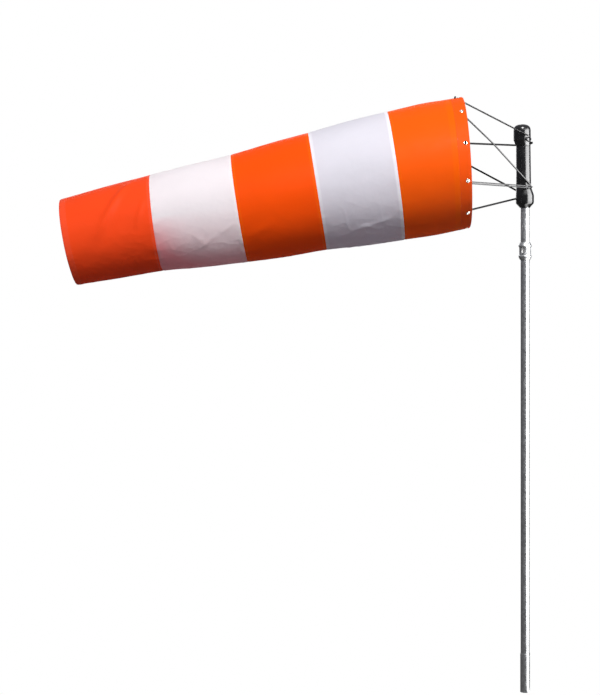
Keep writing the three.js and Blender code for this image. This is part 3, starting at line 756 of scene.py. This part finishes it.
STITCH = {"length": 0.0030, "pitch": 0.0046, "radius": 0.00032, "sides": 4}
SEAM_STITCH = 0.0085  # how far each row of stitching stands in from its edge
TAIL_STITCH = 0.004
HEM_STITCH = 0.003  # from the raw edge of a hem
MOUTH_STITCH = 0.0105
BAND_COLUMNS, HEM_COLUMNS = 288, 768
EYELET_HOLE = 0.0052


def stitch_rows(name, rows, material):
    """Rows of lockstitch round the sock, each at a distance s. Each stitch dips in at its ends."""
    points, faces = [], []
    sides = STITCH["sides"]
    stops = [(-0.5, 0.15, -0.6), (-0.36, 0.9, 0.4), (0.0, 1.0, 0.9), (0.36, 0.9, 0.4), (0.5, 0.15, -0.6)]
    for s in rows:
        number = round(circumference(s) / STITCH["pitch"])
        phi = np.arange(number) / number * TURN
        at, along, around, out = frame_on_sock(np.full(number, s), phi, CLOTH / 2)
        for p, l, c, o in zip(at, along, around, out):
            first = len(points)
            for place, thick, high in stops:
                middle = p + c * place * STITCH["length"] + o * high * STITCH["radius"]
                for q in range(sides):
                    a = q / sides * TURN + TURN / 8
                    points.append(middle + STITCH["radius"] * thick * (l * math.cos(a) + o * math.sin(a)))
            for low in range(first, first + (len(stops) - 1) * sides, sides):
                faces += ring_faces(low, low + sides, sides)
            faces.append(tuple(first + q for q in range(sides))[::-1])
            faces.append(tuple(first + (len(stops) - 1) * sides + q for q in range(sides)))
    return mesh_object(name, points, faces, material)


def make_bands():
    for k, band in enumerate(BANDS):
        name = band["name"]
        # only the white bands get the painted bounce light and shade
        painted_bounce = painted_bounce_of(k) if band["slot"] == "white_fabric" else None
        profile = band_profile(k)
        cloth = sheet_mesh(f"cloth_{name}", profile, BAND_COLUMNS, FABRICS[name], doubled_near(k), painted_bounce)
        last = k == len(BANDS) - 1
        rows = [SEAMS[k + 1] - (TAIL_HEM - HEM_STITCH if last else SEAM_STITCH)]
        if k:
            rows.append(SEAMS[k] + SEAM_STITCH)
        if last:
            rows.append(SEAMS[k + 1] - TAIL_STITCH)
        thread = THREADS["white" if band["slot"] == "white_fabric" else "orange"]
        stitches = stitch_rows(f"stitching_{name}", rows, thread)
        for piece in (cloth, stitches):
            bend_between(piece, k)
        cloth.visible_glossy = False
        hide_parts(*([name, "tail_hem"] if last else [name]))
        length = band["length"] + ALLOWANCE + (TAIL_HEM if last else ALLOWANCE)
        if k == 0:
            length -= HEM_LENGTH - 0.008 + ALLOWANCE


def make_mouth_hem():
    hem = sheet_mesh(
        "cloth_mouth_hem", hem_profile(), HEM_COLUMNS, FABRICS["hem"], np.zeros_like, hole_radius=EYELET_HOLE
    )
    stitches = stitch_rows("stitching_mouth_hem", [MOUTH_STITCH, HEM_LENGTH - HEM_STITCH], THREADS["orange"])
    for piece in (hem, stitches):
        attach(piece, "mouth")
    hem.visible_glossy = False
    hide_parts("mouth_hem")


make_bands()
make_mouth_hem()


# ---- Turned and bent solids ----


def rounded(points, radius, steps=4):
    """A closed outline with each corner rounded off. Points are (radius, z) or (radius, z, centre x)."""
    points = [np.array([*p, 0.0][:3], float) for p in points]
    result = []
    for i, p in enumerate(points):
        before, after = points[i - 1], points[(i + 1) % len(points)]
        a, b = before - p, after - p
        reach = min(radius, 0.45 * np.linalg.norm(a[:2]), 0.45 * np.linalg.norm(b[:2]))
        a, b = (v / max(np.linalg.norm(v[:2]), 1e-9) * reach for v in (a, b))
        for t in np.linspace(0, 1, steps + 1):
            result.append(p + a * (1 - t) ** 2 + b * t**2)
    return result


def turned(name, outline, material, segments=96):
    """A closed outline turned about a vertical line, which may lean as centre x changes up the outline."""
    outline = [(*p, 0.0)[:3] for p in outline]
    turn = np.arange(segments) / segments * TURN
    points = [(x + r * math.cos(a), r * math.sin(a), z) for r, z, x in outline for a in turn]
    faces = []
    for i in range(len(outline)):
        faces += ring_faces(i * segments, (i + 1) % len(outline) * segments, segments)
    made = mesh_object(name, points, faces, material)
    sharpen(made, 40)
    return made


def aim(made, place, direction):
    """Move a piece built about +Z so that it stands at place and points along direction."""
    turn = Vector((0, 0, 1)).rotation_difference(Vector(direction)).to_matrix().to_4x4()
    made.data.transform(Matrix.Translation(Vector(place)) @ turn)
    return made


def cut_with(made, *cutters):
    """Take the cutters' volume out of made. The cutters are used up."""
    for cutter in cutters:
        modifier = made.modifiers.new("cut", "BOOLEAN")
        modifier.operation = "DIFFERENCE"
        modifier.solver = "EXACT"
        modifier.object = cutter
    bpy.context.view_layer.update()
    result = bpy.data.meshes.new_from_object(made.evaluated_get(bpy.context.evaluated_depsgraph_get()))
    made.modifiers.clear()
    made.data = result
    for cutter in cutters:
        bpy.data.objects.remove(cutter)
    sharpen(made, 40)


def block(name, size, place, turn):
    """A box with its middle at place, turned about its own vertical line."""
    w, d, h = (v / 2 for v in size)
    points = [(x, y, z) for x in (-w, w) for y in (-d, d) for z in (-h, h)]
    faces = [(0, 1, 3, 2), (4, 6, 7, 5), (0, 4, 5, 1), (2, 3, 7, 6), (0, 2, 6, 4), (1, 5, 7, 3)]
    made = mesh_object(name, points, faces, GALVANISED, smooth=False)
    made.data.transform(Matrix.Translation(place) @ Matrix.Rotation(turn, 4, "Z"))
    return made


def along_path(path):
    """The path's points with two directions square to it at each, carried along without twist."""
    path = np.array([tuple(p) for p in path], float)
    ahead = unit(np.gradient(path, axis=0))
    side = np.cross(ahead[0], (0.3, 0.2, 0.9))
    sides = []
    for t in ahead:
        side = side - t * np.dot(side, t)
        side = side / np.linalg.norm(side)
        sides.append(side)
    sides = np.array(sides)
    return path, sides, np.cross(ahead, sides)


def even_path(points, step):
    """The polyline through the points, its corners eased, walked in even steps."""
    points = [Vector(p) for p in points]
    eased = [points[0]]
    for before, p, after in zip(points, points[1:], points[2:]):
        reach = min(0.012, 0.4 * (p - before).length, 0.4 * (after - p).length)
        a, b = p + (before - p).normalized() * reach, p + (after - p).normalized() * reach
        for t in np.linspace(0, 1, 7):
            eased.append(a * (1 - t) ** 2 + p * 2 * t * (1 - t) + b * t**2)
    eased.append(points[-1])
    eased = np.array([tuple(p) for p in eased])
    run = distance_along(eased)
    at = np.linspace(0, run[-1], max(8, round(run[-1] / step)))
    return np.stack([np.interp(at, run, eased[:, k]) for k in range(3)], axis=1), run[-1]


def braided(name, path, radius, material, sides=20):
    """A round cord along an even path. Its surface rises where one strand of the braid passes over another."""
    path, u, v = along_path(path)
    count = len(path)
    turn = np.arange(sides) / sides * TURN
    run = distance_along(path)
    pitch = 7.5 * radius
    lead, trail = (np.sin(4 * turn[None, :] + sign * TURN * 4 * run[:, None] / pitch) for sign in (1, -1))
    wide = radius * (1 + 0.10 * np.maximum(lead, trail) - 0.04)
    wide[[0, -1]] *= 0.7
    ring = np.cos(turn)[None, :, None] * u[:, None, :] + np.sin(turn)[None, :, None] * v[:, None, :]
    points = (path[:, None, :] + wide[..., None] * ring).reshape(-1, 3)
    faces = []
    for low in range(0, (count - 1) * sides, sides):
        faces += ring_faces(low, low + sides, sides)
    faces.append(tuple(range(sides))[::-1])
    faces.append(tuple(range((count - 1) * sides, count * sides)))
    made = mesh_object(name, points, faces, material)
    corner = corner_points(made.data)
    uv = np.stack([turn[corner % sides] * radius, run[corner // sides]], axis=1)
    set_values(made.data.uv_layers.new(name="cloth"), "uv", uv)
    return made


# ---- The bridle ----


def at_eyelet(angle, offset):
    """A point on an eyelet's axis, and the way the eyelet faces."""
    p, _, _, out = (Vector(v) for v in frame_on_sock(EYELET_BACK, rad(angle)))
    return p + out * offset, out


def beside_head(centre_x, radius, azimuth, z):
    """A point close beside the head, for a cord laid against it."""
    reach = radius + 0.0036
    return Vector((centre_x + reach * math.cos(rad(azimuth)), reach * math.sin(rad(azimuth)), z))


NECK = (-0.009, 0.0302)  # where the head is drawn in below its cap: centre x and radius
SHOULDER = (-0.001, 0.0346)  # the bell's widest part
ONTO_EYE = Vector((0.007, -0.0435, 2.1156))
ROUND_CAP = Vector((0.0265, -0.0075, 2.0893))  # where the near upper line comes back to its knot
BEHIND_BELL = Vector((0.0025, 0.0386, 1.8865))
CROSSING = Vector((-0.1315, -0.1045, 2.0835))  # where the high line passes in front of its neighbour
INSIDE = -0.007
KNOT_INSIDE = -0.0115
DRAW_BACK = 0.0048  # a line ends this far from its knot's middle
LINE_SIZE = {"grey": 1.0, "waxed": 1.3, "heavy": 1.5}  # the lines are not all of one thickness


def knot_places():
    """Each knot at the mouth: its middle, and the way its tails point."""
    places = {}
    for name, angle, offset in (
        ("knot_top", 81.8, 0.0016),
        ("knot_near_upper", 16.4, 0.0062),
        ("knot_high", 49.6, KNOT_INSIDE),
        ("knot_near_lower", -16.2, KNOT_INSIDE),
        ("knot_low", -49, KNOT_INSIDE),
        ("knot_far", 174.4, KNOT_INSIDE),
    ):
        places[name] = at_eyelet(angle, offset)
    top, out = places["knot_top"]
    places["knot_top"] = (top - Vector((0.012, 0, 0)), out)
    low, out = places["knot_near_lower"]
    places["knot_near_lower"] = (low - Vector((0, 0, 0.009)), out)
    return places


KNOTS = knot_places()


def drawn_back(point, towards):
    return point + (towards - point).normalized() * DRAW_BACK


def span(a, b):
    """A straight run between two knots, stopped short of their middles."""
    return [drawn_back(a, b), drawn_back(b, a)]


def line_routes():
    """Each line from the mouth to the head: its knots and its route."""
    knot = {name: place for name, (place, _) in KNOTS.items()}
    rise = Vector((0, 0, 0.0026))
    fall = Vector((0, 0, -0.0036))
    around_neck = [
        beside_head(*NECK, azimuth, z)
        for azimuth, z in ((150, 2.081), (120, 2.082), (90, 2.0835), (60, 2.085), (30, 2.0865), (5, 2.088))
    ]
    under_shoulder = [
        beside_head(*SHOULDER, azimuth, z) for azimuth, z in ((134, 1.878), (115, 1.881), (97, 1.885))
    ]
    near_end = Vector((0.0215, -0.0245, 1.926))
    lower_1, lower_2 = (Vector((0.0215, -0.0215, z)) for z in (1.9245, 1.918))
    first, second = knot["knot_near_lower"] + rise, knot["knot_near_lower"] + fall
    past_head = [at_eyelet(16.4, INSIDE)[0], *around_neck, ROUND_CAP]
    crossed = [drawn_back(knot["knot_high"], CROSSING), CROSSING, drawn_back(near_end, CROSSING)]
    below = [drawn_back(knot["knot_low"], under_shoulder[0]), *under_shoulder, BEHIND_BELL]
    return {
        "line_top": ("knot_top", "waxed", [at_eyelet(81.8, INSIDE)[0], ONTO_EYE]),
        "line_near_upper": ("knot_near_upper", "heavy", past_head),
        "line_high": ("knot_high", "waxed", crossed),
        "line_near_lower_1": ("knot_near_lower", "grey", span(first, lower_1)),
        "line_near_lower_2": ("knot_near_lower", "grey", span(second, lower_2)),
        "line_far": ("knot_far", "heavy", span(knot["knot_far"], REAR_KNOT)),
        "line_low": ("knot_low", "heavy", below),
    }


def overhand_knot(name, place, out, material, tails, seed):
    """A tight overhand knot with two short cut tails that leave it along the direction given."""
    size = KNOT_RADIUS / 3.1
    pick = np.random.default_rng(seed)
    t = np.linspace(0.25, TURN - 0.25, 90)
    trefoil = [np.sin(t) + 2 * np.sin(2 * t), np.cos(t) - 2 * np.cos(2 * t), -np.sin(3 * t)]
    loop = np.stack(trefoil, axis=1) * size
    ends = []
    for end, before in ((loop[0], loop[1]), (loop[-1], loop[-2])):
        leave = (end - before) / np.linalg.norm(end - before)
        bend = np.array([*pick.uniform(-0.6, 0.6, 2), 1.0])
        steps = np.linspace(0, 1, 10)[1:, None]
        ends.append(end + leave * tails * steps * (1 - steps) + bend * tails * steps**1.3)
    path, _ = even_path(np.concatenate([ends[0][::-1], loop, ends[1]]), 0.0006)
    return aim(braided(name, path, 0.0017, material, sides=14), place, out)


def make_bridle():
    for seed, (name, (place, out)) in enumerate(sorted(KNOTS.items())):
        tint = GREY_CORD if name == "knot_near_lower" else BLACK_CORD
        outside = name in ("knot_top", "knot_near_upper")
        way = out + Vector((-2.5, 0, 0)) if outside else -out
        made = overhand_knot(name + "_tied", place, way, tint, 0.002 if outside else 0.010, seed)
        dress(made, "mouth", "grey_cord" if tint is GREY_CORD else "black_cord", name)
    for seed, (name, place, tint, way) in enumerate(
        (
            ("upper_knot", UPPER_KNOT, BLACK_CORD, (-0.2, -0.5, -0.9)),
            ("lower_knot", LOWER_KNOT, GREY_CORD, (0.2, -0.4, -0.9)),
            ("rear_knot", REAR_KNOT, BLACK_CORD, (0.3, 0.9, -0.2)),
        )
    ):
        made = overhand_knot(name + "_tied", place, Vector(way), tint, 0.004, 20 + seed)
        dress(made, "head", "grey_cord" if tint is GREY_CORD else "black_cord", name)
    for name, (knot, tint, points) in line_routes().items():
        path, length = even_path(points, 0.0012)
        material = {"grey": GREY_CORD, "waxed": WAXED_CORD, "heavy": BLACK_CORD}[tint]
        radius = LINE_RADIUS * LINE_SIZE[tint]
        made = braided(name + "_cord", path, radius, material)
        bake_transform(made)
        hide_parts(name)


def make_eyelets():
    """Rolled two-part eyelets: a domed flange outside, a barrel through the cloth and a washer inside."""
    outline = [
        (3.75, 0.0), (3.8, 0.7), (4.2, 1.25), (4.9, 1.5), (5.8, 1.35), (6.7, 0.95), (7.3, 0.55), (7.45, 0.25),
        (7.2, 0.1), (4.75, 0.15), (4.6, -0.2), (4.6, -1.9), (4.9, -2.05), (7.1, -2.05), (7.4, -2.3),
        (7.2, -2.75), (6.4, -2.95), (5.0, -3.05), (4.2, -2.9), (3.8, -2.5), (3.75, -1.8),
    ]
    for number, angle in enumerate(EYELET_ANGLES, 1):
        profile = [(r * MM, (z + 0.3) * MM) for r, z in outline]
        made = turned(f"eyelet_{number}_rolled", profile, PLATED, 48)
        place, out = at_eyelet(angle, 0.0)
        aim(made, place, out)
        dress(made, "mouth", "eyelet_metal", f"eyelet_{number}")


make_bridle()
make_eyelets()


# ---- The head ----

BELL = [
    (18.9, 1842, -0.5), (23.5, 1848, -1.2), (34, 1859, -1.2), (34.6, 1867, -1.0), (34.6, 1891, -1.0),
    (31.6, 1906, -3.2), (28.7, 1920.8, -5.7),
]
SLEEVE = [(28.7, 1921.2, -5.7), (28.3, 1970, -6.2), (28.1, 2030, -6.8), (27.9, 2076.8, -7.2)]
CAP = [
    (27.9, 2077.3, -7.2), (33.1, 2101, -11.6), (33.1, 2138, -11.8), (31.4, 2147, -11.8), (27, 2153.5, -11.8),
    (19, 2158, -11.8), (9, 2160, -11.8), (0.05, 2160.2, -11.8),
]
CAP_RADIUS, CAP_CENTRE = 0.0331, -0.0116  # at the height of the wire eye
BELL_INSIDE = [(19.8, 1920.8), (19.8, 1904.7), (15.2, 1904.7), (15.2, 1882), (18.3, 1882), (18.3, 1842)]
SLEEVE_INSIDE = [(17.4, 2076.8), (17.4, 2098), (15.2, 2098), (15.2, 1905), (19.5, 1905), (19.5, 1921.2)]
CAP_INSIDE = [(0.05, 2128), (17.7, 2128), (17.7, 2077.3)]


def in_metres(points):
    return [tuple(v * MM for v in (*p, 0.0)[:3]) for p in points]


def make_head():
    for name, outside, inside, soft in (
        ("head_bell", BELL, BELL_INSIDE, 3.0),
        ("head_sleeve", SLEEVE, SLEEVE_INSIDE, 0.7),
        ("head_cap", CAP, CAP_INSIDE, 2.5),
    ):
        outline = rounded(in_metres(outside + inside), soft * MM, 6)
        made = turned(name + "_moulded", outline, MOULDING, 128)
        dress(made, "head", "black_moulding", name)


def socket_screw(name, radius, root, tip, body, node):
    """A short screw with a hexagon socket in its outer end, from root to tip."""
    axis = tip - root
    long, hollow = axis.length, radius * 0.52
    outline = [
        (0.00002, 0.0), (radius, 0.0), (radius, long), (hollow * 1.1, long), (hollow, long - 0.0003),
        (hollow, long - radius), (0.00002, long - radius * 1.2),
    ]
    made = turned(name, rounded(outline, 0.0004, 3), BRIGHT_STEEL, 36)
    aim(made, root, axis)
    dress(made, body, "bright_steel", node)


def make_head_screws():
    for end, z, spigot, surface in (("cap", 2.088, 0.0177, 0.0287), ("bell", 1.913, 0.0198, 0.0297)):
        for side, way in (("near", -1), ("far", 1)):
            root, tip = Vector((0, way * spigot, z)), Vector((0, way * surface, z))
            socket_screw(f"{end}_screw_{side}_socket", 0.0025, root, tip, "head", f"{end}_screw_{side}")


def make_eye():
    """A ring of wire that faces the near side, on a stem let into the cap."""
    radius, wire = 0.0076, 0.0024
    outline = [(radius + wire * math.cos(a), wire * math.sin(a)) for a in np.arange(20) / 20 * TURN]
    ring = turned("wire_eye", outline, BLACK_WIRE, 64)
    aim(ring, UPPER_EYE, (0, -1, 0))
    side = UPPER_EYE.x - radius
    surface = -math.sqrt(CAP_RADIUS**2 - (side - wire - CAP_CENTRE) ** 2)
    root, tip = Vector((side, surface, UPPER_EYE.z)), Vector((side, UPPER_EYE.y, UPPER_EYE.z))
    long = (tip - root).length
    stem = turned("stem", [(0.00002, 0), (wire, 0), (wire, long), (0.00002, long)], BLACK_WIRE, 24)
    aim(stem, root, tip - root)
    eye = joined("wire_eye", [ring, stem])
    dress(eye, "head", "black_wire", "upper_eye")


make_head()
make_head_screws()
make_eye()


# ---- The pole ----

POLE_RADIUS = 0.01685
POLE_BORE = 0.0136
POLE_TOP = 1.872
FOOT = {"bore": 0.0172, "radius": 0.0184, "top": 0.147}
COUPLING = {"bore": 0.0172, "lip": 0.019, "radius": 0.0223, "rim": 0.0252, "low": 1.6435, "high": 1.711}
COUPLING_SHOULDER = 0.012
COUPLING_RIM = 0.004
WINDOW = {"size": (0.009, 0.030, 0.023), "azimuth": -37}
COUPLING_SCREW = {"radius": 0.003, "azimuth": 150, "proud": 0.0015}


def azimuth_point(azimuth, distance, z):
    """A point about the pole: 0 is the near side, and positive is towards +X."""
    return Vector((distance * math.sin(rad(azimuth)), -distance * math.cos(rad(azimuth)), z))


def tube(name, bore, radius, low, high, node, material):
    outline = [(bore, low), (radius, low), (radius, high), (bore, high)]
    steps = spaced(low, high, 0.05)[1:-1]
    eased = rounded(outline, 0.0006, 3)
    outer = [(radius, z) for z in steps]
    at = max(i for i, p in enumerate(eased) if abs(p[0] - radius) < 1e-9 and p[1] < (low + high) / 2)
    outline = [tuple(p)[:2] for p in eased[: at + 1]] + outer + [tuple(p)[:2] for p in eased[at + 1 :]]
    made = turned(name, outline, material, 96)
    dress(made, "mast", "galvanised_steel", node)


def make_coupling():
    """A pipe socket with a tapered shoulder and a rim at each end, and a sight window over the joint."""
    bore, lip, radius, rim, low, high = COUPLING.values()
    rim_end = COUPLING_SHOULDER + COUPLING_RIM
    outline = [
        (bore, low), (lip, low), (rim, low + COUPLING_SHOULDER), (rim, low + rim_end),
        (radius, low + rim_end + 0.003), (radius, high - rim_end - 0.003),
        (rim, high - rim_end), (rim, high - COUPLING_SHOULDER), (lip, high), (bore, high),
    ]
    made = turned("coupling_socket", rounded(outline, 0.0022, 4), GALVANISED, 128)
    place = azimuth_point(WINDOW["azimuth"], 0.030, POLE_JOINT)
    cutters = [block("window", WINDOW["size"], place, rad(WINDOW["azimuth"]))]
    screws = {"upper": high - rim_end + COUPLING_RIM / 2, "lower": low + rim_end - COUPLING_RIM / 2}
    for z in screws.values():
        drill = turned("drill", [(0.00002, 0), (0.0033, 0), (0.0033, 0.04), (0.00002, 0.04)], GALVANISED, 32)
        start = azimuth_point(COUPLING_SCREW["azimuth"], 0.008, z)
        cutters.append(aim(drill, start, azimuth_point(COUPLING_SCREW["azimuth"], 1, 0)))
    cut_with(made, *cutters)
    dress(made, "mast", "galvanised_steel", "pole_coupling")
    for name, z in screws.items():
        root = azimuth_point(COUPLING_SCREW["azimuth"], bore + 0.0003, z)
        tip = azimuth_point(COUPLING_SCREW["azimuth"], rim + COUPLING_SCREW["proud"], z)
        node = f"coupling_screw_{name}"
        socket_screw(node + "_socket", COUPLING_SCREW["radius"], root, tip, "mast", node)


def make_pole():
    gap = 0.00015
    tube("lower_pipe", POLE_BORE, POLE_RADIUS, 0.0, POLE_JOINT - gap, "mast_lower_tube", GALVANISED_WINDOW_HIGHLIGHT)
    tube("upper_pipe", POLE_BORE, POLE_RADIUS, POLE_JOINT + gap, POLE_TOP, "mast_upper_tube", GALVANISED_WINDOW_HIGHLIGHT)
    tube("foot_pipe", FOOT["bore"], FOOT["radius"], 0.0, FOOT["top"], "mast_foot_sleeve", GALVANISED)
    make_coupling()


def dress_inner_pieces():
    """The pieces left as they came from the CAD model, in their own metals."""
    for material, names in (
        (BRIGHT_STEEL, ("spindle", "spindle_pin", "retaining_collar", "collar_grub_screw", "mouth_hoop")),
        (BRONZE, ("thrust_washer", "lower_bush", "upper_bush")),
    ):
        for name in names:
            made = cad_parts[name]
            made.data.materials.clear()
            made.data.materials.append(material)
            made.data.polygons.foreach_set("use_smooth", [True] * len(made.data.polygons))
            sharpen(made, 35)


make_pole()
dress_inner_pieces()
